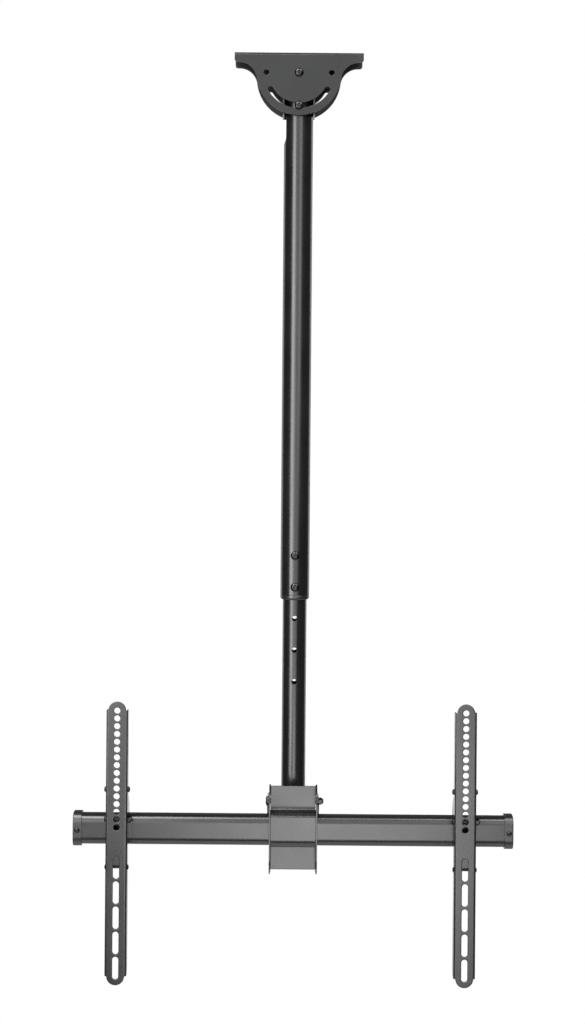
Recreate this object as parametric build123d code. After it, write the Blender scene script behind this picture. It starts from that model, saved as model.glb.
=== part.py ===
from build123d import *
import math
import os

# Ceiling bracket, one folded sheet; all lengths in millimetres
bracket_length = 204.0
bracket_depth = 59.0
bracket_sheet = 3.0
bracket_bend = 2.0
band_height = 15.5
band_corner = 4.5
band_flat = 2.5
lock_radius = 52.0
lock_margin = 15.5
swing_angle = 60.0
spare_hole_diameter = 8.8
spare_hole_reach = 51.5
ceiling_slot_length = 24.0
ceiling_slot_width = 8.5
ceiling_slot_reach = 74.0
ceiling_slot_offset = 11.0

# Bolts at the ceiling, at the height lock, at the swivel, at the tilt and in the arms
main_bolt = 8.0
swivel_bolt_size = 10.0
tilt_bolt_size = 6.0
tilt_head_diameter = 16.0
tilt_head_height = 2.2
clamp_screw_size = 6.0
cap_screw_size = 4.8
arm_screw_size = 5.0
arm_pin_size = 4.5
pinch_bolt_size = 6.0

# Pole head and outer tube
head_sheet = 2.5
head_bend = 2.0
head_rise = 7.0
head_tail = 14.5
outer_tube_diameter = 46.0
outer_tube_wall = 1.5
outer_tube_length = 833.3
cable_notch_width = 23.5
cable_notch_length = 54.0
cable_notch_drop = 43.8

# Foot bushing, inner tube and its row of holes
bushing_lip = 3.0
bushing_taper = 3.0
bushing_sleeve = 30.0
inner_tube_diameter = 38.0
inner_tube_wall = 1.5
height_pitch = 50.0
height_bolt_rise = 13.0
holes_below = 3
holes_above = 8
hole_to_tube_top = 15.0
hole_to_tube_end = 175.2
guide_ring_height = 8.0
guide_ring_cap = 3.0
cable_exit_width = 18.0
cable_exit_length = 40.0
cable_exit_rise = 60.0
plug_thickness = 12.0
glide_washer_thickness = 1.2
washer_thickness = 2.0

# Swivel yoke
yoke_sheet = 3.0
yoke_bend = 3.0
yoke_front = 18.0
yoke_back = 24.0
yoke_plate_width = 68.0
yoke_corner = 6.0
ear_back = 2.0
ear_radius = 9.5
ear_drop = 16.0
ear_setback = 10.0
ear_heel = 8.0
tilt_axis_forward = 30.0

# Tilt frame and the clamp plate over the bar
frame_sheet = 2.0
frame_bend = 0.5
frame_width = 75.0
frame_height = 137.6
frame_drop = 2.0
frame_web_setback = 4.5
frame_front_radius = 26.0
frame_front_margin = 4.0
lug_radius = 10.0
lug_relief = 1.0
spacer_diameter = 10.0
clamp_sheet = 2.5
clamp_height = 130.0
clamp_bend = 5.5
clamp_screw_reach = 18.0

# Cross bar and its end caps
bar_span = 684.0
bar_height = 46.5
bar_depth = 30.0
bar_corner = 7.0
bar_wall = 1.8
bar_forward = 32.0
bar_below_tilt_axis = 37.8
cap_wall = 2.9
cap_length = 13.5
cap_edge = 0.8

# Arms that carry the screen
left_arm_inset = 69.7
right_arm_inset = 76.7
arm_width = 33.5
arm_sheet = 2.0
arm_bend = 1.0
arm_flange = 20.0
arm_flange_corner = 9.0
arm_gap = 3.0
arm_rise = 189.0
arm_hole_diameter = 9.5
arm_hole_pitch = 12.0
arm_hole_count = 16
arm_slot_width = 9.4
arm_slot_length = 34.8
arm_slot_pitch = 38.7
arm_slot_count = 5
arm_slot_drop = 40.0
arm_screw_rise = 66.0
pinch_bolt_rise = 20.0
arm_pin_drop = 54.0
arm_pin_head_height = 2.0

# Hook brackets inside the arms
hook_sheet = 2.0
hook_top = 73.0
hook_bottom = 60.0
hook_crown_radius = 48.0
hook_crown_rise = 10.0
hook_corner = 6.0
hook_lip_radius = 6.0
hook_web_top = 2.0
hook_web_bottom = 50.0

# Clearances
running_gap = 0.08
bolt_gap = 0.2
side_play = 0.3
swing_gap = 0.3
bar_gap = 0.3
sheet_gap = 0.5

# Sizes of screws and nuts as shares of the thread, and of a head as shares of its own height and radius
button_width = 1.75
button_height = 0.55
tall_button_height = 0.7
button_socket = 0.6
button_rim = 0.25
button_shoulder = 0.62
button_shoulder_width = 0.87
button_crown_width = 0.55
socket_depth_share = 0.6
thread_tip = 0.1
hexagon_head_height = 0.64
hexagon_head_width = 1.7
nut_width = 1.625
nut_height = 0.95
nut_hexagon_share = 0.7
nut_collar_share = 0.86

# Length of thread past a nut, how far a cut runs past the face that it opens, and how near is the same place
thread_proud = 2.0
cut_margin = 1.0
same_place = 0.01

# Ceiling bracket, pivot and lock positions
outer_radius = outer_tube_diameter / 2
inner_radius = inner_tube_diameter / 2
head_half_width = outer_radius + head_sheet
pivot_drop = bracket_sheet + bracket_bend + swing_gap + math.hypot(head_half_width, head_rise)
pivot_z = -pivot_drop
lock_z = pivot_z - lock_radius
cheek_radius = lock_radius + lock_margin
head_half_depth = bracket_depth / 2 - bracket_sheet - side_play

# Heights down the pole
head_top = pivot_z + head_rise
head_bottom = lock_z - head_tail
outer_foot = head_top - outer_tube_length
notch_top = head_bottom - cable_notch_drop + cable_notch_length
lower_height_bolt = outer_foot + height_bolt_rise
lowest_hole = lower_height_bolt - holes_below * height_pitch
highest_hole = lower_height_bolt + holes_above * height_pitch
inner_top = highest_hole + hole_to_tube_top
inner_bottom = lowest_hole - hole_to_tube_end

# Coupler and bar positions
yoke_top = inner_bottom - glide_washer_thickness - side_play
tilt_z = yoke_top - ear_radius
tilt_y = -tilt_axis_forward
bar_z = tilt_z - bar_below_tilt_axis
bar_y = tilt_y - bar_forward
bar_front = bar_y - bar_depth / 2
bar_rear = bar_y + bar_depth / 2
frame_half_width = frame_width / 2
frame_front = bar_front - frame_front_margin
frame_top = bar_z - frame_drop + frame_height / 2
clamp_width = frame_width - 2 * (frame_sheet + frame_bend)
ear_inner = frame_half_width + sheet_gap
ear_outer = ear_inner + yoke_sheet

# Arm positions, measured from the bar
left_arm_reach = bar_span / 2 - left_arm_inset
right_arm_reach = bar_span / 2 - right_arm_inset
arm_rear = bar_front - arm_gap
arm_front = arm_rear - arm_flange
arm_top = bar_z + arm_rise
arm_bottom = bar_z - arm_slot_drop - (arm_slot_count - 1) * arm_slot_pitch - arm_slot_length + arm_slot_width
arm_bolt_y = arm_rear - arm_flange / 2
arm_screw_z = bar_z + arm_screw_rise
pinch_bolt_z = bar_z + pinch_bolt_rise
arm_pin_z = bar_z - arm_pin_drop
hook_half_width = arm_width / 2 - arm_sheet


def rod(radius, start, end):
    """A round bar from one point to another."""
    run = Vector(*end) - Vector(*start)
    return extrude(Plane(origin=start, z_dir=run) * Circle(radius), run.length)


def ring(outer, inner, start, end):
    """A round tube from one point to another."""
    return rod(outer, start, end) - rod(inner, start, end)


def seated(shape, seat, outward):
    """A fastener drawn on the origin, moved to its seat with its head facing outward."""
    return Plane(origin=seat, z_dir=outward).location * shape


def turned(outline):
    """A solid turned about Z from the points of its half section."""
    return revolve(Plane.XZ * make_face(Polyline(*outline, close=True)), Axis.Z)


def button_screw(size, length, seat, outward, rise=button_height):
    """A round-headed screw with a hexagon socket."""
    head_radius = button_width * size / 2
    head_height = rise * size
    tip = size * thread_tip
    outline = [
        (0, -length),
        (size / 2 - tip, -length),
        (size / 2, tip - length),
        (size / 2, 0),
        (head_radius, 0),
        (head_radius, head_height * button_rim),
        (head_radius * button_shoulder_width, head_height * button_shoulder),
        (head_radius * button_crown_width, head_height),
        (0, head_height),
    ]
    socket_depth = head_height * socket_depth_share
    hexagon = RegularPolygon(button_socket * size / 2, 6, major_radius=False)
    socket = Pos(0, 0, head_height - socket_depth) * extrude(hexagon, socket_depth)
    return seated(turned(outline) - socket, seat, outward)


def lock_nut(size, seat, outward):
    """A hexagon nut with a round locking collar, bored for its screw."""
    height = nut_height * size
    flats_radius = nut_width * size / 2
    body = extrude(RegularPolygon(flats_radius, 6, major_radius=False), height * nut_hexagon_share)
    collar = rod(flats_radius * nut_collar_share, (0, 0, 0), (0, 0, height))
    return seated(body + collar - rod(size / 2, (0, 0, 0), (0, 0, height)), seat, outward)


def bar_section(grow, square_back):
    """The outline of the cross bar in the YZ plane, grown all round, with a plain back where asked."""
    depth = bar_depth + 2 * grow
    height = bar_height + 2 * grow
    outline = Pos(bar_y, bar_z) * RectangleRounded(depth, height, bar_corner + grow)
    if square_back:
        outline += Pos(bar_y + depth / 4, bar_z) * Rectangle(depth / 2, height)
    return outline


def block(x_range, y_range, z_range):
    """A plain box between two limits on each axis."""
    size = [high - low for low, high in (x_range, y_range, z_range)]
    middle = [(high + low) / 2 for low, high in (x_range, y_range, z_range)]
    return Pos(*middle) * Box(*size)


def folded_channel(half_width, sheet, bend, depth_range, z_range, open_to):
    """A sheet folded twice into a channel: a web across X and a flange each side, open along Y."""
    near, far = depth_range
    width = 2 * half_width
    run = far - near
    middle = (near + far) / 2
    inside_shift = sheet * open_to
    outer = Pos(0, middle) * Rectangle(width, run)
    web_side = near if open_to > 0 else far
    outer = fillet(outer.vertices().filter_by(lambda v: abs(v.Y - web_side) < same_place), bend + sheet)
    inner = Pos(0, middle + inside_shift) * Rectangle(width - 2 * sheet, run)
    inner_side = web_side + inside_shift
    inner = fillet(inner.vertices().filter_by(lambda v: abs(v.Y - inner_side) < same_place), bend)
    return Pos(0, 0, z_range[0]) * extrude(outer - inner, z_range[1] - z_range[0])


def cheek_outline():
    """The bracket's cheek seen from the front: a band with rounded ends that sweeps into a disc."""
    half = bracket_length / 2
    band = Pos(0, -band_height / 2) * Rectangle(bracket_length, band_height)
    band = fillet(band.vertices().group_by(Axis.Y)[0], band_corner)
    disc = Pos(0, pivot_z) * Circle(cheek_radius)
    disc -= Pos(0, cheek_radius - band_height / 2) * Rectangle(2 * bracket_length, 2 * cheek_radius)
    tangent_x = half - band_corner - band_flat
    rise = pivot_drop - band_height
    neck_radius = (tangent_x ** 2 + rise ** 2 - cheek_radius ** 2) / (2 * (cheek_radius + rise))
    neck_z = -band_height - neck_radius
    reach = cheek_radius / (cheek_radius + neck_radius)
    outline = band + disc
    for side in (-1, 1):
        touch = (side * tangent_x * reach, pivot_z + (neck_z - pivot_z) * reach)
        corners = [
            (0, -band_height / 2),
            (side * tangent_x, -band_height / 2),
            (side * tangent_x, neck_z),
            touch,
            (0, pivot_z),
        ]
        neck = make_face(Polyline(*corners, close=True))
        outline += neck - Pos(side * tangent_x, neck_z) * Circle(neck_radius)
    return outline


def ceiling_bracket():
    """One folded sheet: a slotted top plate with a deep cheek in front and behind."""
    half_depth = bracket_depth / 2
    inner_half = half_depth - bracket_sheet
    height = pivot_drop + cheek_radius
    shell = Pos(0, -height / 2) * Rectangle(bracket_depth, height)
    shell = fillet(shell.vertices().group_by(Axis.Y)[-1], bracket_bend + bracket_sheet)
    hollow = Pos(0, -bracket_sheet - height / 2) * Rectangle(2 * inner_half, height)
    hollow = fillet(hollow.vertices().group_by(Axis.Y)[-1], bracket_bend)
    sheet = extrude(Plane.YZ * (shell - hollow), bracket_length / 2, both=True)
    sheet &= extrude(Plane.XZ * cheek_outline(), bracket_depth, both=True)
    slot_arc = CenterArc((0, pivot_z), lock_radius, 270 - swing_angle, 2 * swing_angle)
    lock_slot = SlotArc(slot_arc, main_bolt + 2 * bolt_gap)
    holes = lock_slot + Pos(0, pivot_z) * Circle(main_bolt / 2 + bolt_gap)
    for side in (-1, 1):
        holes += Pos(side * spare_hole_reach, pivot_z) * Circle(spare_hole_diameter / 2)
    sheet -= extrude(Plane.XZ * holes, bracket_depth, both=True)
    for x in (-ceiling_slot_reach, ceiling_slot_reach):
        for y in (-ceiling_slot_offset, ceiling_slot_offset):
            slot = Pos(x, y) * SlotOverall(ceiling_slot_length, ceiling_slot_width)
            sheet -= extrude(slot, bracket_sheet * 2, both=True)
    return sheet


def bracket_bolt(z, gap):
    """A bolt through both cheeks at one height, its head a small gap off the front cheek."""
    half_depth = bracket_depth / 2
    length = bracket_depth + 2 * gap + nut_height * main_bolt + thread_proud
    return button_screw(main_bolt, length, (0, -half_depth - gap, z), (0, -1, 0))


def bracket_nut(z, gap):
    """The nut behind the rear cheek on the bolt at one height."""
    return lock_nut(main_bolt, (0, bracket_depth / 2 + gap, z), (0, 1, 0))


def pole_head():
    """A folded sheet round the top of the pole, its two flanges facing the front cheek."""
    head = folded_channel(
        head_half_width,
        head_sheet,
        head_bend,
        (-head_half_depth, head_half_depth),
        (head_bottom, head_top),
        -1,
    )
    for z in (pivot_z, lock_z):
        head -= rod(main_bolt / 2 + running_gap, (0, 0, z), (0, head_half_depth + cut_margin, z))
    return head


def outer_tube():
    """The upper pole: bolt holes at the head, a cable notch on its left and two height holes."""
    bore = outer_radius - outer_tube_wall
    tube = ring(outer_radius, bore, (0, 0, outer_foot), (0, 0, head_top))
    for z in (pivot_z, lock_z):
        tube -= rod(main_bolt / 2 + running_gap, (0, -outer_radius, z), (0, outer_radius, z))
    for z in (lower_height_bolt, lower_height_bolt + height_pitch):
        tube -= rod(main_bolt / 2 + bolt_gap, (0, -outer_radius, z), (0, outer_radius, z))
    notch_plane = Plane.YZ * Pos(0, notch_top - cable_notch_length / 2) * Rot(0, 0, 90)
    notch = notch_plane * SlotOverall(cable_notch_length, cable_notch_width)
    return tube - extrude(notch, -outer_radius - cut_margin)


def height_bolts():
    """Two bolts across the foot of the outer tube, each cut off just clear of the inner tube."""
    clear = inner_radius + side_play
    parts = []
    for z in (lower_height_bolt, lower_height_bolt + height_pitch):
        parts.append(button_screw(main_bolt, outer_radius - clear, (0, -outer_radius, z), (0, -1, 0)))
        end = outer_radius + nut_height * main_bolt + thread_proud
        parts.append(rod(main_bolt / 2, (0, clear, z), (0, end, z)))
    return parts


def height_nuts():
    """The nuts of the two height bolts, behind the outer tube."""
    heights = (lower_height_bolt, lower_height_bolt + height_pitch)
    return [lock_nut(main_bolt, (0, outer_radius, z), (0, 1, 0)) for z in heights]


def tube_bushing():
    """A moulded bushing in the foot of the outer tube with a tapered lip below it."""
    bore = inner_radius + running_gap
    sleeve_radius = outer_radius - outer_tube_wall
    lip_end = outer_foot - bushing_lip
    outline = [
        (bore, outer_foot + bushing_sleeve),
        (sleeve_radius, outer_foot + bushing_sleeve),
        (sleeve_radius, outer_foot),
        (outer_radius, outer_foot),
        (outer_radius, lip_end),
        (sleeve_radius, lip_end - bushing_taper),
        (bore, lip_end - bushing_taper),
    ]
    z = lower_height_bolt
    return turned(outline) - rod(main_bolt / 2 + bolt_gap, (0, -outer_radius, z), (0, outer_radius, z))


def inner_tube():
    """The lower pole: a row of through holes for the height bolts and a cable exit at the back."""
    tube = ring(inner_radius, inner_radius - inner_tube_wall, (0, 0, inner_bottom), (0, 0, inner_top))
    for index in range(holes_below + holes_above + 1):
        z = lowest_hole + index * height_pitch
        tube -= rod(main_bolt / 2 + bolt_gap, (0, -inner_radius, z), (0, inner_radius, z))
    exit_z = inner_bottom + cable_exit_rise
    exit_plane = Plane.XZ * Pos(0, exit_z) * Rot(0, 0, 90)
    cable_exit = exit_plane * SlotOverall(cable_exit_length, cable_exit_width)
    return tube - extrude(cable_exit, -inner_radius - cut_margin)


def guide_ring():
    """A moulded ring on the top end of the inner tube that guides it inside the outer one."""
    slide_radius = outer_radius - outer_tube_wall - running_gap
    outline = [
        (inner_radius, inner_top - guide_ring_height),
        (slide_radius, inner_top - guide_ring_height),
        (slide_radius, inner_top + guide_ring_cap),
        (inner_radius - inner_tube_wall, inner_top + guide_ring_cap),
        (inner_radius - inner_tube_wall, inner_top),
        (inner_radius, inner_top),
    ]
    return turned(outline)


def swivel_plug():
    """A thick disc welded in the end of the inner tube, threaded for the swivel bolt."""
    radius = inner_radius - inner_tube_wall
    end = (0, 0, inner_bottom)
    return ring(radius, swivel_bolt_size / 2, end, (0, 0, inner_bottom + plug_thickness))


def glide_washer():
    """A nylon washer between the end of the inner tube and the yoke."""
    end = (0, 0, inner_bottom - glide_washer_thickness)
    return ring(inner_radius, swivel_bolt_size / 2, end, (0, 0, inner_bottom))


def swivel_seat():
    """The height of the underside of the swivel washer, just below the yoke."""
    return yoke_top - yoke_sheet - side_play - washer_thickness


def swivel_washer():
    """A steel washer under the yoke."""
    seat = swivel_seat()
    return ring(swivel_bolt_size, swivel_bolt_size / 2, (0, 0, seat), (0, 0, seat + washer_thickness))


def swivel_bolt():
    """A hexagon bolt from below that carries the yoke on the end of the pole."""
    head_height = hexagon_head_height * swivel_bolt_size
    head_radius = hexagon_head_width * swivel_bolt_size / 2
    seat = swivel_seat()
    hexagon = RegularPolygon(head_radius, 6, major_radius=False)
    head = Pos(0, 0, seat - head_height) * extrude(hexagon, head_height)
    return head + rod(swivel_bolt_size / 2, (0, 0, seat), (0, 0, inner_bottom + plug_thickness))


def swivel_yoke():
    """A plate under the pole with two tabs folded down into ears that reach forward to the tilt bolt."""
    ear = make_hull(
        (Pos(tilt_y, tilt_z) * Circle(ear_radius)).edges()
        + (Pos(tilt_y + ear_setback, tilt_z - ear_drop) * Circle(ear_heel)).edges()
        + (Pos(-ear_back - ear_heel, yoke_top - ear_heel) * Circle(ear_heel)).edges()
    )
    ears = extrude(Plane.YZ * ear, ear_outer, both=True)
    hull_depth = yoke_top - tilt_z + ear_drop + ear_heel
    section = Pos(0, yoke_top - hull_depth / 2) * Rectangle(2 * ear_outer, hull_depth)
    section = fillet(section.vertices().group_by(Axis.Y)[-1], yoke_bend + yoke_sheet)
    hollow = Pos(0, yoke_top - yoke_sheet - hull_depth / 2) * Rectangle(2 * ear_inner, hull_depth)
    hollow = fillet(hollow.vertices().group_by(Axis.Y)[-1], yoke_bend)
    yoke = ears & extrude(Plane.XZ * (section - hollow), 4 * yoke_back, both=True)
    front_end = tilt_y - ear_radius - cut_margin
    above = yoke_top + cut_margin
    yoke -= block((-ear_inner, ear_inner), (front_end, -yoke_front), (tilt_z, above))
    plate = Pos(0, (yoke_back - yoke_front) / 2) * Rectangle(yoke_plate_width, yoke_back + yoke_front)
    plate = fillet(plate.vertices().group_by(Axis.Y)[-1], yoke_corner)
    yoke += Pos(0, 0, yoke_top - yoke_sheet) * extrude(plate, yoke_sheet)
    yoke -= rod(swivel_bolt_size / 2 + running_gap, (0, 0, yoke_top - 2 * yoke_sheet), (0, 0, above))
    return yoke - rod(tilt_bolt_size / 2, (-ear_outer, tilt_y, tilt_z), (ear_outer, tilt_y, tilt_z))


def tilt_bolt():
    """A mushroom-headed bolt through both ears and the tilt frame, its head on the left."""
    radius = tilt_bolt_size / 2
    head = tilt_head_diameter / 2
    length = 2 * ear_outer + nut_height * tilt_bolt_size + thread_proud / 2
    outline = [
        (0, -length),
        (radius, -length),
        (radius, 0),
        (head, 0),
        (head, tilt_head_height * button_rim),
        (head * button_shoulder_width, tilt_head_height * button_shoulder),
        (head * button_crown_width, tilt_head_height),
        (0, tilt_head_height),
    ]
    return seated(turned(outline), (-ear_outer, tilt_y, tilt_z), (-1, 0, 0))


def tilt_nut():
    """The nut of the tilt bolt, outside the right ear."""
    return lock_nut(tilt_bolt_size, (ear_outer, tilt_y, tilt_z), (1, 0, 0))


def tilt_frame():
    """A folded sheet behind the bar: two rounded cheeks with windows for the bar and rear lugs."""
    web_rear = bar_rear + frame_sheet
    z_range = (frame_top - frame_height, frame_top)
    channel = folded_channel(frame_half_width, frame_sheet, frame_bend, (frame_front, web_rear), z_range, -1)
    middle_z = frame_top - frame_height / 2
    side = Pos((frame_front + web_rear) / 2, middle_z) * Rectangle(web_rear - frame_front, frame_height)
    side = fillet(side.vertices().group_by(Axis.X)[0], frame_front_radius)
    frame = channel & extrude(Plane.YZ * side, frame_width, both=True)
    relief = lug_radius + lug_relief
    bend_start = web_rear - frame_sheet - frame_bend
    lug = make_hull(
        (Pos(tilt_y, tilt_z) * Circle(lug_radius)).edges()
        + (Pos(bend_start - lug_radius, tilt_z) * Circle(lug_radius)).edges()
    )
    inner_face = frame_half_width - frame_sheet
    inner_edge = inner_face - frame_bend
    for end in (-1, 1):
        x_range = sorted((end * inner_edge, end * (frame_half_width + cut_margin)))
        frame -= block(x_range, (bend_start, web_rear + cut_margin), (tilt_z - relief, tilt_z + relief))
        frame += extrude(Plane.YZ.offset(end * inner_face) * lug, end * frame_sheet)
    for low, high in ((0, frame_web_setback), (frame_height - frame_web_setback, frame_height)):
        z_cut = (frame_top - high, frame_top - low)
        frame -= block((-inner_edge, inner_edge), (bend_start, web_rear), z_cut)
    frame -= extrude(Plane.YZ * bar_section(bolt_gap, False), frame_width, both=True)
    reach = frame_half_width + cut_margin
    frame -= rod(tilt_bolt_size / 2 + running_gap, (-reach, tilt_y, tilt_z), (reach, tilt_y, tilt_z))
    for x in (-clamp_screw_reach, clamp_screw_reach):
        frame -= rod(clamp_screw_size / 2 + bolt_gap, (x, bar_rear, bar_z), (x, web_rear, bar_z))
    return frame


def tilt_spacer():
    """A tube on the tilt bolt that keeps the two cheeks of the tilt frame apart."""
    reach = frame_half_width - frame_sheet
    bore = tilt_bolt_size / 2 + running_gap
    return ring(spacer_diameter / 2, bore, (-reach, tilt_y, tilt_z), (reach, tilt_y, tilt_z))


def clamp_plate():
    """A pressed plate over the front of the bar with a flange above and below it."""
    wrap = bar_section(bolt_gap + clamp_sheet, True)
    front_edge = bar_front - bolt_gap - clamp_sheet
    face = bar_rear - clamp_sheet
    keep = Pos((front_edge + face) / 2, bar_z) * Rectangle(face - front_edge, clamp_height)
    flange = Pos(bar_rear - clamp_sheet / 2, bar_z) * Rectangle(clamp_sheet, clamp_height)
    section = (wrap & keep) + flange
    wrap_half = bar_height / 2 + bolt_gap + clamp_sheet
    inside_corners = [
        vertex
        for vertex in section.vertices()
        if abs(abs(vertex.Y - bar_z) - wrap_half) < same_place and abs(vertex.X - face) < same_place
    ]
    section = fillet(inside_corners, clamp_bend)
    section -= bar_section(bolt_gap, True)
    wrap_inside = bar_height / 2 + bolt_gap
    lips = [
        vertex
        for vertex in section.vertices()
        if abs(abs(vertex.Y - bar_z) - wrap_inside) < same_place and abs(vertex.X - bar_rear) < same_place
    ]
    section = fillet(lips, clamp_bend + clamp_sheet)
    return extrude(Plane.YZ * section, clamp_width / 2, both=True)


def clamp_screws():
    """Two screws from behind, through the tilt frame into the back wall of the bar."""
    parts = []
    for x in (-clamp_screw_reach, clamp_screw_reach):
        seat = (x, bar_rear + frame_sheet, bar_z)
        parts.append(button_screw(clamp_screw_size, frame_sheet + bar_wall + thread_proud, seat, (0, 1, 0)))
    return parts


def cross_bar():
    """A rectangular tube with rounded corners, drilled for the clamp and cap screws."""
    half = bar_span / 2 - cap_wall
    section = bar_section(0, False) - bar_section(-bar_wall, False)
    bar = extrude(Plane.YZ * section, half, both=True)
    for x in (-clamp_screw_reach, clamp_screw_reach):
        bar -= rod(clamp_screw_size / 2, (x, bar_rear - 2 * bar_wall, bar_z), (x, bar_rear, bar_z))
    for side in (-1, 1):
        x = side * (bar_span / 2 - cap_length / 2)
        bar -= rod(cap_screw_size / 2, (x, bar_front, bar_z), (x, bar_front + 2 * bar_wall, bar_z))
    return bar


def end_cap(side):
    """A moulded cap over one end of the bar, with softened edges and a screw hole in front."""
    end = side * bar_span / 2
    shell = extrude(Plane.YZ.offset(end) * bar_section(cap_wall, False), -side * cap_length)
    shell = chamfer(shell.faces().sort_by(Axis.X)[-1 if side > 0 else 0].edges(), cap_edge)
    pocket_face = Plane.YZ.offset(end - side * cap_wall)
    shell -= extrude(pocket_face * bar_section(0, False), -side * cap_length)
    x = side * (bar_span / 2 - cap_length / 2)
    return shell - rod(cap_screw_size / 2, (x, bar_front - cap_wall, bar_z), (x, bar_front, bar_z))


def cap_screws():
    """One screw through the front of each end cap into the bar."""
    parts = []
    for side in (-1, 1):
        seat = (side * (bar_span / 2 - cap_length / 2), bar_front - cap_wall, bar_z)
        parts.append(button_screw(cap_screw_size, cap_wall + bar_wall + thread_proud, seat, (0, -1, 0)))
    return parts


def arm_rail(x):
    """A channel with half-round ends, a row of holes above the bar and a row of slots below."""
    z_range = (arm_bottom, arm_top)
    rail = folded_channel(arm_width / 2, arm_sheet, arm_bend, (arm_front, arm_rear), z_range, 1)
    side = Rectangle(arm_flange, arm_top - arm_bottom)
    side = Pos((arm_front + arm_rear) / 2, (arm_top + arm_bottom) / 2) * side
    side = fillet(side.vertices().group_by(Axis.X)[-1], arm_flange_corner)
    rail &= extrude(Plane.YZ * side, arm_width, both=True)
    end_radius = arm_width / 2 - arm_sheet - arm_bend
    face_plane = Plane.XZ.offset(-arm_front)
    for z in z_range:
        end = Pos(0, z) * Circle(end_radius)
        rail += extrude(face_plane * end, -arm_sheet)
    openings = Sketch()
    for index in range(arm_hole_count):
        openings += Pos(0, arm_top - index * arm_hole_pitch) * Circle(arm_hole_diameter / 2)
    slot_middle = bar_z - arm_slot_drop - (arm_slot_length - arm_slot_width) / 2
    for index in range(arm_slot_count):
        place = Pos(0, slot_middle - index * arm_slot_pitch) * Rot(0, 0, 90)
        openings += place * SlotOverall(arm_slot_length, arm_slot_width)
    rail -= extrude(face_plane * openings, -2 * arm_sheet, both=True)
    rail = drill_arm(rail)
    return Pos(x, 0, 0) * rail


def drill_arm(piece):
    """Holes across an arm piece for its two screws, its pinch bolt and its pin."""
    reach = arm_width / 2
    bores = ((arm_screw_size, arm_screw_z), (pinch_bolt_size, pinch_bolt_z), (arm_pin_size, arm_pin_z))
    for size, z in bores:
        piece -= rod(size / 2, (-reach, arm_bolt_y, z), (reach, arm_bolt_y, z))
    return piece


def hook_outline():
    """The side of the hook bracket: a strip behind the arm with a curved hook over the bar."""
    front = arm_front + arm_sheet
    strip_height = hook_top + hook_bottom
    strip = Pos((front + arm_rear) / 2, bar_z + (hook_top - hook_bottom) / 2)
    outline = strip * Rectangle(arm_rear - front, strip_height)
    outline = fillet(outline.vertices().group_by(Axis.X)[-1], hook_corner)
    crown_z = bar_z + hook_crown_rise
    crown = Pos(arm_rear, crown_z) * Circle(hook_crown_radius)
    quarter = Pos(arm_rear + hook_crown_radius / 2, crown_z + hook_crown_radius / 2)
    crown &= quarter * Rectangle(hook_crown_radius, hook_crown_radius)
    outline += crown
    saddle_rear = bar_rear + bar_gap
    lip_rear = arm_rear + hook_crown_radius
    lip_height = crown_z - bar_z + (lip_rear - saddle_rear) / 2
    lip = Rectangle(lip_rear - saddle_rear, lip_height)
    lip = fillet(lip.vertices().group_by(Axis.Y)[0], hook_lip_radius)
    lip = Pos((saddle_rear + lip_rear) / 2, crown_z - lip_height / 2) * lip
    base = Pos((arm_rear + saddle_rear) / 2, crown_z - hook_crown_rise / 2)
    outline += lip + base * Rectangle(saddle_rear - arm_rear, hook_crown_rise)
    below = Pos((bar_front - bar_gap + saddle_rear) / 2, bar_z - hook_bottom / 2)
    cut = bar_section(bar_gap, False) + below * Rectangle(bar_depth + 2 * bar_gap, hook_bottom)
    return outline - cut


def hook_bracket(x):
    """One folded sheet inside the arm: two hooked sides joined by a web behind the arm's face."""
    front = arm_front + arm_sheet
    reach = arm_rear + hook_crown_radius
    z_range = (bar_z - hook_bottom, bar_z + hook_top)
    shape = folded_channel(hook_half_width, hook_sheet, arm_bend, (front, reach), z_range, 1)
    shape &= extrude(Plane.YZ * hook_outline(), hook_half_width, both=True)
    inner = hook_half_width - hook_sheet
    web_depth = (front, front + hook_sheet + arm_bend)
    edge = inner - arm_bend
    shape -= block((-edge, edge), web_depth, (bar_z - hook_web_top, z_range[1]))
    shape -= block((-edge, edge), web_depth, (z_range[0], bar_z - hook_web_bottom))
    return Pos(x, 0, 0) * drill_arm(shape)


def arm_screws(x):
    """Two short screws, one each side, that hold the hook bracket in the arm."""
    length = arm_sheet + hook_sheet + nut_height * arm_screw_size + thread_proud / 2
    parts = []
    for side in (-1, 1):
        seat = (x + side * arm_width / 2, arm_bolt_y, arm_screw_z)
        parts.append(button_screw(arm_screw_size, length, seat, (side, 0, 0), tall_button_height))
    return parts


def arm_nuts(x):
    """The nuts of the two short screws, inside the hook bracket."""
    inner = hook_half_width - hook_sheet
    parts = []
    for side in (-1, 1):
        seat = (x + side * inner, arm_bolt_y, arm_screw_z)
        parts.append(lock_nut(arm_screw_size, seat, (-side, 0, 0)))
    return parts


def arm_pin(x):
    """A pin right across the arm, riveted over into a round head on each side."""
    half = arm_width / 2
    radius = arm_pin_size / 2
    head = button_width * radius
    rise = arm_pin_head_height
    outline = [(0, -half - rise)]
    for end in (-1, 1):
        crown = [
            (head * button_crown_width, end * (half + rise)),
            (head * button_shoulder_width, end * (half + rise * button_shoulder)),
            (head, end * (half + rise * button_rim)),
            (head, end * half),
            (radius, end * half),
        ]
        outline += crown if end < 0 else crown[::-1]
    outline.append((0, half + rise))
    return seated(turned(outline), (x, arm_bolt_y, arm_pin_z), (1, 0, 0))


def pinch_bolt(x):
    """The bolt across the arm just in front of the bar, its head on the left."""
    length = arm_width + nut_height * pinch_bolt_size + thread_proud / 2
    return button_screw(pinch_bolt_size, length, (x - arm_width / 2, arm_bolt_y, pinch_bolt_z), (-1, 0, 0))


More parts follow.
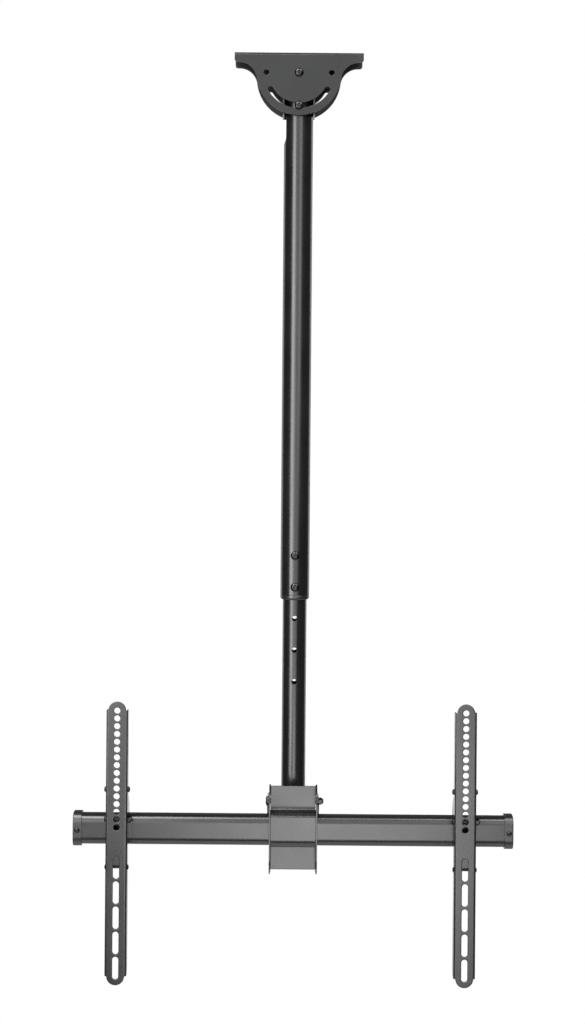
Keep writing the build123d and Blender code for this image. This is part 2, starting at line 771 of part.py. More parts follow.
def pinch_nut(x):
    """The nut of the pinch bolt, on the right."""
    return lock_nut(pinch_bolt_size, (x + arm_width / 2, arm_bolt_y, pinch_bolt_z), (1, 0, 0))


def arm_parts(name, x):
    """All pieces of one arm."""
    return {
        name + "_arm_rail": arm_rail(x),
        name + "_hook_bracket": hook_bracket(x),
        name + "_arm_screws": arm_screws(x),
        name + "_arm_nuts": arm_nuts(x),
        name + "_arm_pin": arm_pin(x),
        name + "_pinch_bolt": pinch_bolt(x),
        name + "_pinch_nut": pinch_nut(x),
    }


def all_parts():
    """Every piece of the mount by name."""
    parts = {
        "ceiling_bracket": ceiling_bracket(),
        "pivot_bolt": bracket_bolt(pivot_z, 0),
        "pivot_nut": bracket_nut(pivot_z, 0),
        "lock_bolt": bracket_bolt(lock_z, side_play),
        "lock_nut": bracket_nut(lock_z, side_play),
        "pole_head": pole_head(),
        "outer_tube": outer_tube(),
        "height_bolts": height_bolts(),
        "height_nuts": height_nuts(),
        "tube_bushing": tube_bushing(),
        "inner_tube": inner_tube(),
        "guide_ring": guide_ring(),
        "swivel_plug": swivel_plug(),
        "glide_washer": glide_washer(),
        "swivel_washer": swivel_washer(),
        "swivel_bolt": swivel_bolt(),
        "swivel_yoke": swivel_yoke(),
        "tilt_bolt": tilt_bolt(),
        "tilt_nut": tilt_nut(),
        "tilt_frame": tilt_frame(),
        "tilt_spacer": tilt_spacer(),
        "clamp_plate": clamp_plate(),
        "clamp_screws": clamp_screws(),
        "cross_bar": cross_bar(),
        "left_end_cap": end_cap(-1),
        "right_end_cap": end_cap(1),
        "cap_screws": cap_screws(),
    }
    parts.update(arm_parts("left", -left_arm_reach))
    parts.update(arm_parts("right", right_arm_reach))
    return parts


os.makedirs("parts", exist_ok=True)
for name, shape in all_parts().items():
    if isinstance(shape, list):
        shape = Compound(children=shape)
    export_step(shape, "parts/" + name + ".step")
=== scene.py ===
import math

import bmesh
import bpy
from mathutils import Matrix, Vector


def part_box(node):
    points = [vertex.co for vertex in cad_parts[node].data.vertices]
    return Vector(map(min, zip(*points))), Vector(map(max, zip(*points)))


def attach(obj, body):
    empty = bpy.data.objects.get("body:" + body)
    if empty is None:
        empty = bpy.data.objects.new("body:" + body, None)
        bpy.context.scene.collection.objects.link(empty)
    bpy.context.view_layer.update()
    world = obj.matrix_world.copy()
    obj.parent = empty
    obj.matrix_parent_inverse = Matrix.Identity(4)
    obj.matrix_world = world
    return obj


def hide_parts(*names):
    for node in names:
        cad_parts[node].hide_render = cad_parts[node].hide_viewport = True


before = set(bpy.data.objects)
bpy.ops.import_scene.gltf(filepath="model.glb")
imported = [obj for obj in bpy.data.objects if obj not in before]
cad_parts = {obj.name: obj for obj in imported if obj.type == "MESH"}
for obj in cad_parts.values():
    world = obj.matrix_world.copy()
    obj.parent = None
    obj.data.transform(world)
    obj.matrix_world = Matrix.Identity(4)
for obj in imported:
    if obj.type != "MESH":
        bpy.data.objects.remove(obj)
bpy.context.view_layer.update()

MM = 0.001

# Camera: eye straight in front of the pole, a little left of it and halfway down
EYE = Vector((-15.96, -2943.0, -575.0)) * MM
PHOTO_HEIGHT = 1024
SENSOR = 36.0
FOCAL_PIXELS = 1846.5
CENTRE_SHIFT = (6.3 / PHOTO_HEIGHT, -95.5 / PHOTO_HEIGHT)
CAMERA_ROLL = 0.0083
CAMERA_REACH = 50.0

# Room: a pale floor at room height below the ceiling plate, the light level around it, and the spans of
# direction over which the white seen in a shine fades in, towards the back and below the horizon
FLOOR_DROP = 3000.0 * MM
FLOOR_SIZE = 3400.0 * MM
ROOM_LEVEL = 0.09
SHEET_FADE = (0.94, 1.0)
HORIZON_FADE = (0.1, -0.1)

# The middle span of a noise pattern, where nearly all of its values lie
NOISE_SPAN = (0.3, 0.7)

# The bar: depth and height of its elliptical corners, and its wall
BAR_CORNER = (9.0 * MM, 12.0 * MM)
BAR_WALL = 1.8 * MM

# The plate pressed round the bar: its gap, its sheet, depth and height of its upper and lower corner,
# and the bends into the flanges above and below
PLATE_GAP = 0.2 * MM
PLATE_SHEET = 2.5 * MM
PLATE_CORNERS = ((4.0 * MM, 4.0 * MM), (11.0 * MM, 13.0 * MM))
PLATE_UPPER_BEND = 7.0 * MM
PLATE_LOWER_BEND = 3.0 * MM

# The caps of the bar: their wall and the rounding of the outer end
CAP_WALL = 2.9 * MM
CAP_EDGE = 1.6 * MM

# Points round a turned piece, steps round a bend, the strip that keeps a flat face flat, and the angle
# in degrees above which an edge stays sharp
TURNED_POINTS = 48
ARC_STEPS = 12
FLAT_MARGIN = 0.3 * MM
SHARP_ANGLE = 35.0

# Bushing in the foot of the outer tube: length of its sleeve, and radii of its bore, sleeve and lip
BUSHING_SLEEVE = 30.0 * MM
BUSHING_RADII = (19.08 * MM, 21.5 * MM, 23.0 * MM)

# Lip of the bushing: its gap under the tube, the depth of its groove, its eased upper edge, its
# straight side, its rounding, and the flat ring left round the bore
LIP_GAP = 0.05 * MM
LIP_GROOVE = 0.5 * MM
LIP_EASE = 0.1 * MM
LIP_EASE_START = 1.6 * LIP_GROOVE
LIP_EASE_END = 2.2 * LIP_GROOVE
LIP_STRAIGHT = 4.0 * MM
LIP_ROUND = 3.6 * MM
LIP_RING = 0.4 * MM

# Screws: thread sizes, and the heights of their heads as a share of them
BOLT_SIZE = 8.0 * MM
CAP_SCREW_SIZE = 4.8 * MM
CLAMP_SCREW_SIZE = 6.0 * MM
ARM_SCREW_SIZE = 5.0 * MM
PINCH_BOLT_SIZE = 6.0 * MM
HEAD_RISE = 0.55
ARM_HEAD_RISE = 0.7
ARM_SCREW_LENGTH = 9.75 * MM

# Screw heads: radius and socket as shares of the thread size, the socket's mouth as a share of the
# head's radius, the drilled floor as a share of the socket, and the rest as shares of the head's height
HEAD_WIDTH = 0.875
HEAD_RIM = 0.2
SOCKET_FLAT = 0.3
SOCKET_MOUTH = 0.45
SOCKET_CHAMFER = 0.1
SOCKET_FLOOR = 0.3
SOCKET_DRILLED = 0.85
SOCKET_CONE = 0.15
SOCKET_STEP = 0.02 * MM

# Threads: the longest one, the most of a shank that it takes, and root and crest as shares of the pitch
THREAD_PITCH = 1.0 * MM
THREAD_DEPTH = 0.45 * MM
THREAD_LENGTH = 12.0 * MM
THREAD_SHARE = 0.7
THREAD_ROOT = 0.15
THREAD_CREST = 0.6

# Lamps: azimuth to the right of the camera and elevation in degrees, distance, width and height
# in metres, the height of what they face, and brightness where 1 is the white of the background
LAMPS = {
    "left_box": (-31.0, 0.0, 3.0, 1.2, 2.4, -0.6, 5.3),
    "inner_box": (-14.0, 0.0, 3.0, 0.5, 1.5, -0.7, 1.8),
    "front_box": (4.0, 0.0, 3.0, 1.9, 3.0, -0.5, 1.05),
    "right_box": (23.0, 0.0, 3.0, 1.0, 1.4, 0.05, 1.6),
    "low_box": (2.5, 0.0, 3.0, 0.85, 0.95, -1.98, 3.15),
    "top_left_box": (-28.0, 50.0, 5.5, 2.7, 3.2, -1.2, 7.6),
    "top_right_box": (36.0, 50.0, 5.5, 2.5, 3.2, -1.2, 5.5),
    "back_box": (180.0, 0.0, 3.0, 1.6, 1.5, -1.85, 0.8),
    "back_left_box": (-140.0, 5.0, 3.0, 1.3, 2.6, -0.8, 1.3),
    "back_right_box": (140.0, 5.0, 3.0, 1.3, 2.6, -0.8, 1.3),
}


def linear(colour):
    """An sRGB hex colour as the linear colour that a socket takes."""
    channels = [int(colour[i:i + 2], 16) / 255 for i in (0, 2, 4)]
    return [c / 12.92 if c <= 0.04045 else ((c + 0.055) / 1.055) ** 2.4 for c in channels] + [1.0]


def add_node(tree, kind, settings=None, links=None):
    """One node with its settings, and links into its sockets by name or number."""
    node = tree.nodes.new(kind)
    for name, value in (settings or {}).items():
        if isinstance(name, int) or name in node.inputs:
            node.inputs[name].default_value = value
        else:
            setattr(node, name, value)
    for name, source in (links or {}).items():
        tree.links.new(source, node.inputs[name])
    return node


def new_material(name):
    """An empty node material and its tree."""
    material = bpy.data.materials.new(name)
    material.use_nodes = True
    material.node_tree.nodes.clear()
    return material, material.node_tree


def noise(tree, size, detail):
    """Noise of a real size, which stays with the piece as it moves."""
    place = add_node(tree, "ShaderNodeTexCoord").outputs["Object"]
    settings = {"Scale": 1 / size, "Detail": detail}
    return add_node(tree, "ShaderNodeTexNoise", settings, {"Vector": place}).outputs["Fac"]


def shaded(tree, pattern, shades, stops):
    """A colour that follows a pattern from one sRGB shade to another between two stops."""
    ramp = add_node(tree, "ShaderNodeValToRGB", None, {"Fac": pattern})
    for element, position, shade in zip(ramp.color_ramp.elements, stops, shades):
        element.position = position
        element.color = linear(shade)
    return ramp.outputs["Color"]


def uneven(tree, pattern, low, high):
    """A roughness that follows a noise pattern from a low to a high value."""
    settings = {"From Min": NOISE_SPAN[0], "From Max": NOISE_SPAN[1], "To Min": low, "To Max": high}
    return add_node(tree, "ShaderNodeMapRange", settings, {"Value": pattern}).outputs["Result"]


def softened(tree, radius, samples=4):
    """The normal of edges rounded to a small radius."""
    return add_node(tree, "ShaderNodeBevel", {"samples": samples, "Radius": radius}).outputs["Normal"]


def bumped(tree, pattern, strength, depth, normal=None):
    """A normal that a pattern raises to a real depth."""
    links = {"Height": pattern}
    if normal:
        links["Normal"] = normal
    settings = {"Strength": strength, "Distance": depth}
    return add_node(tree, "ShaderNodeBump", settings, links).outputs["Normal"]


def surface(tree, settings, links):
    """The shader of a material, joined to its output."""
    shader = add_node(tree, "ShaderNodeBsdfPrincipled", settings, links)
    add_node(tree, "ShaderNodeOutputMaterial", None, {"Surface": shader.outputs["BSDF"]})


def powder_coat(name, shades, film_size, peel_size, peel_depth, edge_size, roughness, gloss):
    """Baked polyester powder on steel: an uneven film under an orange peel, rounded over the edges."""
    material, tree = new_material(name)
    peel = noise(tree, peel_size, 2.0)
    film = noise(tree, film_size, 3.0)
    edge = softened(tree, edge_size, samples=6)
    surface(
        tree,
        {"IOR": 1.5, "Specular IOR Level": gloss},
        {
            "Base Color": shaded(tree, film, shades, (0.35, 0.65)),
            "Roughness": uneven(tree, film, roughness - 0.02, roughness + 0.03),
            "Normal": bumped(tree, peel, 0.3, peel_depth, edge),
        },
    )
    return material


def smooth_powder_coat():
    """On the pole and the hook brackets: a smooth satin coat that carries a soft bright stripe."""
    return powder_coat(
        "smooth_satin_powder_coat",
        shades=("0c0d0e", "111213"),
        film_size=80 * MM,
        peel_size=2.0 * MM,
        peel_depth=0.02 * MM,
        edge_size=0.6 * MM,
        roughness=0.24,
        gloss=1.0,
    )


def bracket_powder_coat():
    """On the ceiling bracket: the same paint with less shine, an even dark grey."""
    return powder_coat(
        "satin_bracket_powder_coat",
        shades=("121314", "17181a"),
        film_size=80 * MM,
        peel_size=2.0 * MM,
        peel_depth=0.02 * MM,
        edge_size=1.4 * MM,
        roughness=0.27,
        gloss=0.72,
    )


def textured_powder_coat(name, edge_size):
    """On the bar, the head and the arm rails: a fine sand texture under a satin shine."""
    return powder_coat(
        name,
        shades=("131415", "191a1b"),
        film_size=60 * MM,
        peel_size=1.2 * MM,
        peel_depth=0.03 * MM,
        edge_size=edge_size,
        roughness=0.23,
        gloss=1.0,
    )


def black_oxide_steel():
    """Rolled and machined steel dipped black: a dark metal with a faint oily shine."""
    material, tree = new_material("black_oxide_steel")
    # Blotches of a few millimetres, where the oxide took more or less oil
    oil = noise(tree, 4 * MM, 3.0)
    surface(
        tree,
        {"Metallic": 1.0},
        {
            "Base Color": shaded(tree, oil, ("363637", "484849"), (0.35, 0.7)),
            "Roughness": uneven(tree, oil, 0.16, 0.26),
            "Normal": softened(tree, 0.4 * MM),
        },
    )
    return material


def moulded_black_plastic():
    """Injection-moulded ABS from a spark-eroded tool: black with a fine even grain."""
    material, tree = new_material("moulded_black_plastic")
    # The tool's grain is about 0.4 mm, drawn at 1 mm so that it shows
    grain = noise(tree, 1.0 * MM, 3.0)
    surface(
        tree,
        {"IOR": 1.53, "Roughness": 0.28, "Specular IOR Level": 0.9},
        {
            "Base Color": shaded(tree, grain, ("1b1c1d", "222324"), NOISE_SPAN),
            "Normal": bumped(tree, grain, 0.3, 0.05 * MM, softened(tree, 0.8 * MM)),
        },
    )
    return material


def natural_nylon():
    """Turned nylon: a waxy cream white that lets a little light in."""
    material, tree = new_material("natural_nylon")
    place = add_node(tree, "ShaderNodeTexCoord").outputs["Object"]
    # Turning marks are about 0.3 mm apart, drawn at 2 mm so that they show
    turning = add_node(
        tree,
        "ShaderNodeTexWave",
        {"wave_type": "RINGS", "rings_direction": "Z", "Scale": 1 / (6 * MM), "Distortion": 0.4},
        {"Vector": place},
    )
    surface(
        tree,
        {"IOR": 1.53, "Roughness": 0.45, "Subsurface Weight": 0.2, "Subsurface Scale": 1.0 * MM},
        {"Base Color": shaded(tree, turning.outputs["Fac"], ("ded9cb", "e8e4d8"), (0.0, 1.0))},
    )
    return material


def zinc_plated_steel():
    """Bright zinc over turned steel: a cool grey with a soft cloudy shine."""
    material, tree = new_material("zinc_plated_steel")
    # Clouds of plating about 8 mm across
    clouds = noise(tree, 8 * MM, 4.0)
    surface(
        tree,
        {"Metallic": 1.0},
        {
            "Base Color": shaded(tree, clouds, ("9a9da0", "b9bcbe"), NOISE_SPAN),
            "Roughness": uneven(tree, clouds, 0.28, 0.4),
        },
    )
    return material


def painted_floor():
    """Matt wall paint on the studio floor: a pale warm white that keeps the shadow."""
    material, tree = new_material("matt_floor_paint")
    # The roller's stipple, about 3 mm
    roller = noise(tree, 3 * MM, 2.0)
    surface(
        tree,
        {"Base Color": linear("e4e3e0"), "Roughness": 0.8},
        {"Normal": bumped(tree, roller, 0.1, 0.2 * MM)},
    )
    return material


def studio_floor():
    """A square floor under the mount."""
    half = FLOOR_SIZE / 2
    around = ((-half, -half), (half, -half), (half, half), (-half, half))
    corners = [(x, y, -FLOOR_DROP) for x, y in around]
    mesh = bpy.data.meshes.new("studio_floor")
    mesh.from_pydata(corners, [], [(0, 1, 2, 3)])
    floor = bpy.data.objects.new("studio_floor", mesh)
    bpy.context.scene.collection.objects.link(floor)
    mesh.materials.append(painted_floor())


def studio_world():
    """White behind the mount, seen directly, in a shine or through glass, and a dim room elsewhere."""
    world = bpy.data.worlds.new("studio_world")
    bpy.context.scene.world = world
    world.use_nodes = True
    tree = world.node_tree
    tree.nodes.clear()
    rays = add_node(tree, "ShaderNodeLightPath").outputs
    direction = add_node(tree, "ShaderNodeTexCoord").outputs["Generated"]
    axes = add_node(tree, "ShaderNodeSeparateXYZ", None, {"Vector": direction})
    behind = add_node(
        tree,
        "ShaderNodeMapRange",
        {"interpolation_type": "SMOOTHSTEP", "From Min": SHEET_FADE[0], "From Max": SHEET_FADE[1]},
        {"Value": axes.outputs["Y"]},
    )
    below = add_node(
        tree,
        "ShaderNodeMapRange",
        {"interpolation_type": "SMOOTHSTEP", "From Min": HORIZON_FADE[0], "From Max": HORIZON_FADE[1]},
        {"Value": axes.outputs["Z"]},
    )
    shine = add_node(
        tree,
        "ShaderNodeMath",
        {"operation": "MAXIMUM"},
        {0: rays["Is Glossy Ray"], 1: rays["Is Transmission Ray"]},
    )
    sheet = add_node(
        tree,
        "ShaderNodeMath",
        {"operation": "MULTIPLY"},
        {0: behind.outputs["Result"], 1: below.outputs["Result"]},
    )
    backdrop = add_node(
        tree,
        "ShaderNodeMath",
        {"operation": "MULTIPLY_ADD", "use_clamp": True},
        {0: shine.outputs[0], 1: sheet.outputs[0], 2: rays["Is Camera Ray"]},
    )
    level = add_node(
        tree,
        "ShaderNodeMapRange",
        {"To Min": ROOM_LEVEL, "To Max": 1.0},
        {"Value": backdrop.outputs[0]},
    )
    background = add_node(
        tree,
        "ShaderNodeBackground",
        {"Color": linear("ffffff")},
        {"Strength": level.outputs["Result"]},
    )
    add_node(tree, "ShaderNodeOutputWorld", None, {"Surface": background.outputs["Background"]})


def studio_lamps():
    """Soft boxes on both sides of the camera, above it and behind the mount, each facing the pole."""
    for name, (azimuth, elevation, distance, width, height, target, brightness) in LAMPS.items():
        lamp = bpy.data.lights.new(name, "AREA")
        lamp.shape = "RECTANGLE"
        lamp.size = width
        lamp.size_y = height
        lamp.energy = brightness * math.pi * width * height
        box = bpy.data.objects.new(name, lamp)
        bpy.context.scene.collection.objects.link(box)
        turn = Matrix.Rotation(math.radians(azimuth), 4, "Z")
        rise = Matrix.Rotation(math.radians(90 - elevation), 4, "X")
        aim = Matrix.Translation((0, 0, target)) @ turn @ rise
        box.matrix_world = aim @ Matrix.Translation((0, 0, distance))
        box.visible_camera = False


def studio_camera():
    """The camera straight in front of the mount, halfway down its height."""
    data = bpy.data.cameras.new("camera")
    data.sensor_width = SENSOR
    data.lens = FOCAL_PIXELS * SENSOR / PHOTO_HEIGHT
    data.shift_x, data.shift_y = CENTRE_SHIFT
    data.clip_end = CAMERA_REACH
    camera = bpy.data.objects.new("camera", data)
    bpy.context.scene.collection.objects.link(camera)
    level = Matrix.Rotation(math.radians(90), 4, "X")
    camera.matrix_world = Matrix.Translation(EYE) @ Matrix.Rotation(-CAMERA_ROLL, 4, "Y") @ level
    bpy.context.scene.camera = camera


def add_piece(name, body, replaced, finish, slot, points, faces):
    """A mesh that rides on a body and stands for the CAD node that it replaces."""
    mesh = bpy.data.meshes.new(name)
    mesh.from_pydata(points, [], faces)
    mesh.materials.append(finish)
    mesh.shade_smooth()
    mesh.set_sharp_from_angle(angle=math.radians(SHARP_ANGLE))
    piece = bpy.data.objects.new(name, mesh)
    bpy.context.scene.collection.objects.link(piece)
    outward = bmesh.new()
    outward.from_mesh(mesh)
    bmesh.ops.recalc_face_normals(outward, faces=outward.faces)
    outward.to_mesh(mesh)
    outward.free()
    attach(piece, body)
    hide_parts(replaced)


def arc(centre, radii, start, end):
    """Points on an ellipse in the YZ plane between two angles in degrees, from +Y towards +Z."""
    points = []
    for step in range(ARC_STEPS + 1):
        turn = math.radians(start + (end - start) * step / ARC_STEPS)
        points.append((centre[0] + radii[0] * math.cos(turn), centre[1] + radii[1] * math.sin(turn)))
    return points


def joined(arcs, closed):
    """One outline through arcs, with a point just inside each end of every straight run."""
    outline = []
    count = len(arcs)
    for index, points in enumerate(arcs):
        outline += points
        if index == count - 1 and not closed:
            break
        near, far = Vector(points[-1]), Vector(arcs[(index + 1) % count][0])
        run = far - near
        if run.length > 3 * FLAT_MARGIN:
            margin = run.normalized() * FLAT_MARGIN
            outline += [tuple(near + margin), tuple(far - margin)]
    return outline


def bar_outline(grow):
    """The section of the bar, grown all round, as points in Y and Z."""
    low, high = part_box("cross_bar")
    middle = ((low[1] + high[1]) / 2, (low[2] + high[2]) / 2)
    corner = (BAR_CORNER[0] + grow, BAR_CORNER[1] + grow)
    half = ((high[1] - low[1]) / 2 + grow - corner[0], (high[2] - low[2]) / 2 + grow - corner[1])
    arcs = []
    for side_y, side_z, start in ((1, 1, 0), (-1, 1, 90), (-1, -1, 180), (1, -1, 270)):
        centre = (middle[0] + side_y * half[0], middle[1] + side_z * half[1])
        arcs.append(arc(centre, corner, start, start + 90))
    return joined(arcs, True)


def loft(rings, closed_loop):
    """Points and faces through a row of rings that have the same number of points."""
    points = [point for ring in rings for point in ring]
    count = len(rings[0])
    faces = []
    for index in range(len(rings) - 1 + closed_loop):
        near, far = index * count, (index + 1) % len(rings) * count
        for step in range(count):
            following = (step + 1) % count
            faces.append((near + step, near + following, far + following, far + step))
    return points, faces


def bar_piece(finish):
    """The cross bar: a rolled tube with wide soft corners, open at both ends under the caps."""
    low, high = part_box("cross_bar")
    outside, inside = bar_outline(0.0), bar_outline(-BAR_WALL)
    walls = ((low[0], outside), (high[0], outside), (high[0], inside), (low[0], inside))
    rings = [[(x, y, z) for y, z in outline] for x, outline in walls]
    add_piece("bar_tube", "head", "cross_bar", finish, "black_powder_coat", *loft(rings, True))


def cap_piece(side, node, finish):
    """A moulded cap: a rounded outer end, a skirt over the bar and a pocket that the bar fills."""
    low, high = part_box(node)
    end, mouth = (high[0], low[0]) if side > 0 else (low[0], high[0])
    rings = []
    for step in range(ARC_STEPS + 1):
        turn = math.pi / 2 * step / ARC_STEPS
        grow = CAP_WALL - CAP_EDGE * (1 - math.sin(turn))
        rings.append((end - side * CAP_EDGE * (1 - math.cos(turn)), grow))
    rings += [
        (end - side * (CAP_EDGE + FLAT_MARGIN), CAP_WALL),
        (mouth, CAP_WALL),
        (mouth, 0.0),
        (end - side * CAP_WALL, 0.0),
    ]
    rings = [[(x, y, z) for y, z in bar_outline(grow)] for x, grow in rings]
    points, faces = loft(rings, False)
    count = len(rings[0])
    faces += [tuple(range(count)), tuple(range(len(points) - count, len(points)))]
    add_piece(node + "_moulding", "head", node, finish, "black_moulded_plastic", points, faces)


def plate_piece(finish):
    """The clamp plate: a flange above, a pressed hat round the bar and a flange below."""
    low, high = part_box("clamp_plate")
    bar_low, bar_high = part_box("cross_bar")
    grow = PLATE_GAP + PLATE_SHEET
    above, below = PLATE_CORNERS
    face, flange = bar_low[1] - grow, bar_high[1] - PLATE_SHEET
    top, bottom = bar_high[2] + grow, bar_low[2] - grow
    upper, lower = (PLATE_UPPER_BEND,) * 2, (PLATE_LOWER_BEND,) * 2
    arcs = [
        [(flange, high[2])],
        arc((flange - upper[0], top + upper[1]), upper, 0, -90),
        arc((face + above[0], top - above[1]), above, 90, 180),
        arc((face + below[0], bottom + below[1]), below, 180, 270),
        arc((flange - lower[0], bottom - lower[1]), lower, 90, 0),
        [(flange, low[2])],
    ]
    front = [Vector(point) for point in joined(arcs, False)]
    back = []
    for index, point in enumerate(front):
        run = front[min(index + 1, len(front) - 1)] - front[max(index - 1, 0)]
        back.append(point + Vector((-run[1], run[0])).normalized() * PLATE_SHEET)
    loop = front + back[::-1]
    rings = [[(x, y, z) for y, z in loop] for x in (low[0], high[0])]
    points, faces = loft(rings, False)
    count, half = len(loop), len(front)
    for start in (0, count):
        for step in range(half - 1):
            across = start + count - 1 - step
            faces.append((start + step, start + step + 1, across - 1, across))
    add_piece("pressed_clamp_plate", "head", "clamp_plate", finish, "black_powder_coat", points, faces)


def turned_rings(profile):
    """Rings of points round Z from radii and heights; a third value of 6 makes the ring a hexagon."""
    rings = []
    for radius, height, *sides in profile:
        ring = []
        for step in range(TURNED_POINTS):
            turn = 2 * math.pi * step / TURNED_POINTS
            reach = radius
            if sides:
                reach /= math.cos((turn + math.pi / 6) % (math.pi / 3) - math.pi / 6)
            ring.append((reach * math.cos(turn), reach * math.sin(turn), height))
        rings.append(ring)
    return rings


def bushing_piece(finish):
    """The bushing in the foot of the outer tube: a sleeve inside, a fine groove and a rounded lip."""
    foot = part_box("outer_tube")[0][2]
    bore, sleeve, lip = BUSHING_RADII
    straight_end = foot - LIP_STRAIGHT
    profile = [
        (bore, foot + BUSHING_SLEEVE),
        (sleeve, foot + BUSHING_SLEEVE),
        (sleeve, foot),
        (lip - LIP_GROOVE, foot - LIP_GAP),
        (lip - LIP_GROOVE, foot - LIP_GROOVE),
        (lip - LIP_EASE, foot - LIP_EASE_START),
        (lip, foot - LIP_EASE_END),
    ]
    for step in range(ARC_STEPS + 1):
        turn = math.pi / 2 * step / ARC_STEPS
        reach = lip - bore - LIP_RING
        profile.append((lip - reach * (1 - math.cos(turn)), straight_end - LIP_ROUND * math.sin(turn)))
    profile.append((bore, straight_end - LIP_ROUND))
    points, faces = loft(turned_rings(profile), True)
    add_piece("bushing_lip", "pole", "tube_bushing", finish, "black_moulded_plastic", points, faces)


def screw_shape(seat, outward, size, length, rise):
    """A button head with a chamfered hexagon socket, a shank, and a thread over its free end."""
    radius, height = HEAD_WIDTH * size, rise * size
    profile = [(size / 2 - THREAD_DEPTH, -length)]
    turns = int(min(THREAD_LENGTH, THREAD_SHARE * length) / THREAD_PITCH)
    for index in range(turns):
        start = -length + index * THREAD_PITCH
        profile += [
            (size / 2 - THREAD_DEPTH, start + THREAD_ROOT * THREAD_PITCH),
            (size / 2, start + THREAD_CREST * THREAD_PITCH),
        ]
    profile += [(size / 2, 0.0), (radius, 0.0), (radius, HEAD_RIM * height)]
    crown = math.acos(SOCKET_MOUTH)
    for step in range(1, ARC_STEPS + 1):
        turn = crown * step / ARC_STEPS
        profile.append((radius * math.cos(turn), height * (HEAD_RIM + (1 - HEAD_RIM) * math.sin(turn))))
    mouth = profile[-1][1]
    profile += [
        (SOCKET_FLAT * size, mouth - SOCKET_CHAMFER * height, 6),
        (SOCKET_FLAT * size, height * SOCKET_FLOOR + SOCKET_STEP, 6),
        (SOCKET_DRILLED * SOCKET_FLAT * size, height * SOCKET_FLOOR),
        (SOCKET_STEP, height * (SOCKET_FLOOR - SOCKET_CONE)),
    ]
    points, faces = loft(turned_rings(profile), False)
    faces += [tuple(range(TURNED_POINTS)), tuple(range(len(points) - TURNED_POINTS, len(points)))]
    place = Matrix.Translation(seat) @ Vector(outward).to_track_quat("Z", "Y").to_matrix().to_4x4()
    return [tuple(place @ Vector(point)) for point in points], faces


def screws_piece(node, body, finish, size, rise, seats, outwards, length):
    """The screws of one node in one mesh."""
    points, faces = [], []
    for seat, outward in zip(seats, outwards):
        more_points, more_faces = screw_shape(seat, outward, size, length, rise)
        faces += [tuple(index + len(points) for index in face) for face in more_faces]
        points += more_points
    add_piece(node + "_shape", body, node, finish, "blackened_steel", points, faces)


def pole_bolts(steel):
    """The bolts that cross the pole, with their heads to the front."""
    height, reach = HEAD_RISE * BOLT_SIZE, HEAD_WIDTH * BOLT_SIZE
    for node, body in (("pivot_bolt", "ceiling"), ("lock_bolt", "pole")):
        low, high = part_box(node)
        y = low[1] + height
        seats = [((low[0] + high[0]) / 2, y, (low[2] + high[2]) / 2)]
        screws_piece(node, body, steel, BOLT_SIZE, HEAD_RISE, seats, [(0, -1, 0)], high[1] - y)
    low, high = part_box("height_bolts")
    y = low[1] + height
    seats = [(0.0, y, z) for z in (low[2] + reach, high[2] - reach)]
    outwards = [(0, -1, 0)] * 2
    screws_piece("height_bolts", "pole", steel, BOLT_SIZE, HEAD_RISE, seats, outwards, high[1] - y)


def bar_screws(steel):
    """The cap screws, with their heads to the front, and the clamp screws, with theirs behind."""
    pairs = (("cap_screws", -1, CAP_SCREW_SIZE), ("clamp_screws", 1, CLAMP_SCREW_SIZE))
    for node, outward, size in pairs:
        low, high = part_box(node)
        height, reach = HEAD_RISE * size, HEAD_WIDTH * size
        y = low[1] + height if outward < 0 else high[1] - height
        seats = [(x, y, (low[2] + high[2]) / 2) for x in (low[0] + reach, high[0] - reach)]
        length = high[1] - low[1] - height
        screws_piece(node, "head", steel, size, HEAD_RISE, seats, [(0, outward, 0)] * 2, length)


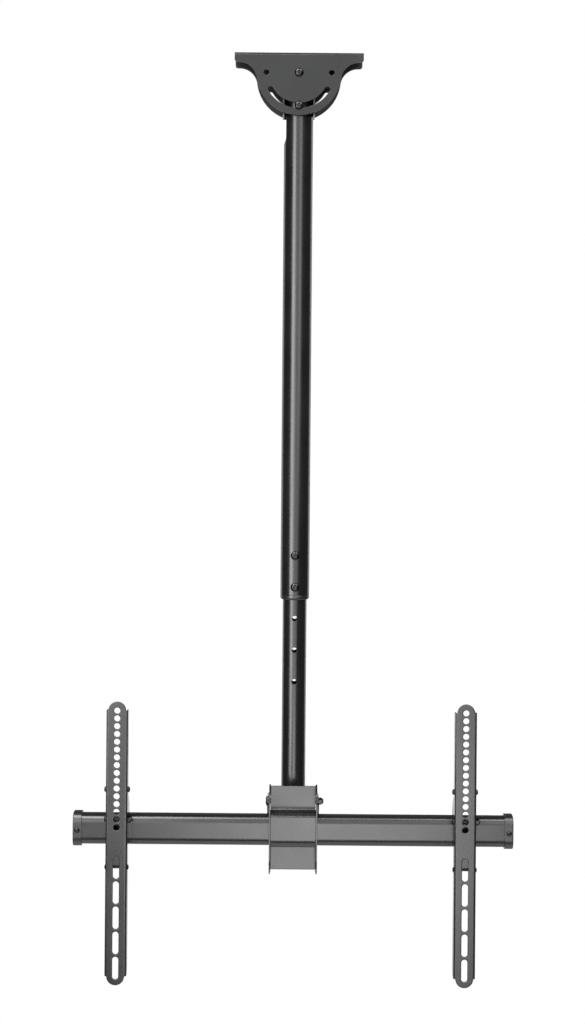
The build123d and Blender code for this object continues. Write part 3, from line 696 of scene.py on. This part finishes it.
def arm_screws(arm, steel):
    """The two screws at the sides of an arm, and its pinch bolt with the head to the left."""
    body = arm + "_arm"
    low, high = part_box(arm + "_arm_screws")
    size, rise = ARM_SCREW_SIZE, ARM_HEAD_RISE
    middle = ((low[1] + high[1]) / 2, (low[2] + high[2]) / 2)
    seats = [(low[0] + rise * size, *middle), (high[0] - rise * size, *middle)]
    outwards = [(-1, 0, 0), (1, 0, 0)]
    screws_piece(arm + "_arm_screws", body, steel, size, rise, seats, outwards, ARM_SCREW_LENGTH)
    low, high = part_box(arm + "_pinch_bolt")
    size, rise = PINCH_BOLT_SIZE, HEAD_RISE
    x = low[0] + rise * size
    seats = [(x, (low[1] + high[1]) / 2, (low[2] + high[2]) / 2)]
    screws_piece(arm + "_pinch_bolt", body, steel, size, rise, seats, [(-1, 0, 0)], high[0] - x)


def coat(names, finish):
    """One finish over all the material slots of these CAD nodes."""
    for name in names:
        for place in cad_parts[name].material_slots:
            place.material = finish


def finish_nodes():
    """Every node gets the finish of its slot, and the painted ones off the head a coat of their own."""
    finishes = {
        # On the bar and the head: a sand texture with crisp edges
        "black_powder_coat": textured_powder_coat("fine_texture_powder_coat", 0.6 * MM),
        "blackened_steel": black_oxide_steel(),
        "black_moulded_plastic": moulded_black_plastic(),
        "nylon": natural_nylon(),
        "bare_steel": zinc_plated_steel(),
    }
    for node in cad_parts.values():
        for place in node.material_slots:
            place.material = finishes[place.material.name]
    pole = ("pole_head", "outer_tube", "inner_tube", "left_hook_bracket", "right_hook_bracket")
    coat(pole, smooth_powder_coat())
    coat(("ceiling_bracket",), bracket_powder_coat())
    # On the arm rails: the sand texture, rounded over the folds, which edge the rails with a dark line
    rail = textured_powder_coat("folded_rail_powder_coat", 2.4 * MM)
    coat(("left_arm_rail", "right_arm_rail"), rail)
    return finishes


def shaped_pieces(finishes):
    """The pieces whose fine form stands for the solid of their CAD node."""
    paint, plastic = finishes["black_powder_coat"], finishes["black_moulded_plastic"]
    steel = finishes["blackened_steel"]
    bar_piece(paint)
    plate_piece(paint)
    for side, node in ((-1, "left_end_cap"), (1, "right_end_cap")):
        cap_piece(side, node, plastic)
    bushing_piece(plastic)
    pole_bolts(steel)
    bar_screws(steel)
    for arm in ("left", "right"):
        arm_screws(arm, steel)


bpy.context.scene.view_settings.view_transform = "Standard"
studio_camera()
studio_world()
studio_lamps()
studio_floor()
shaped_pieces(finish_nodes())
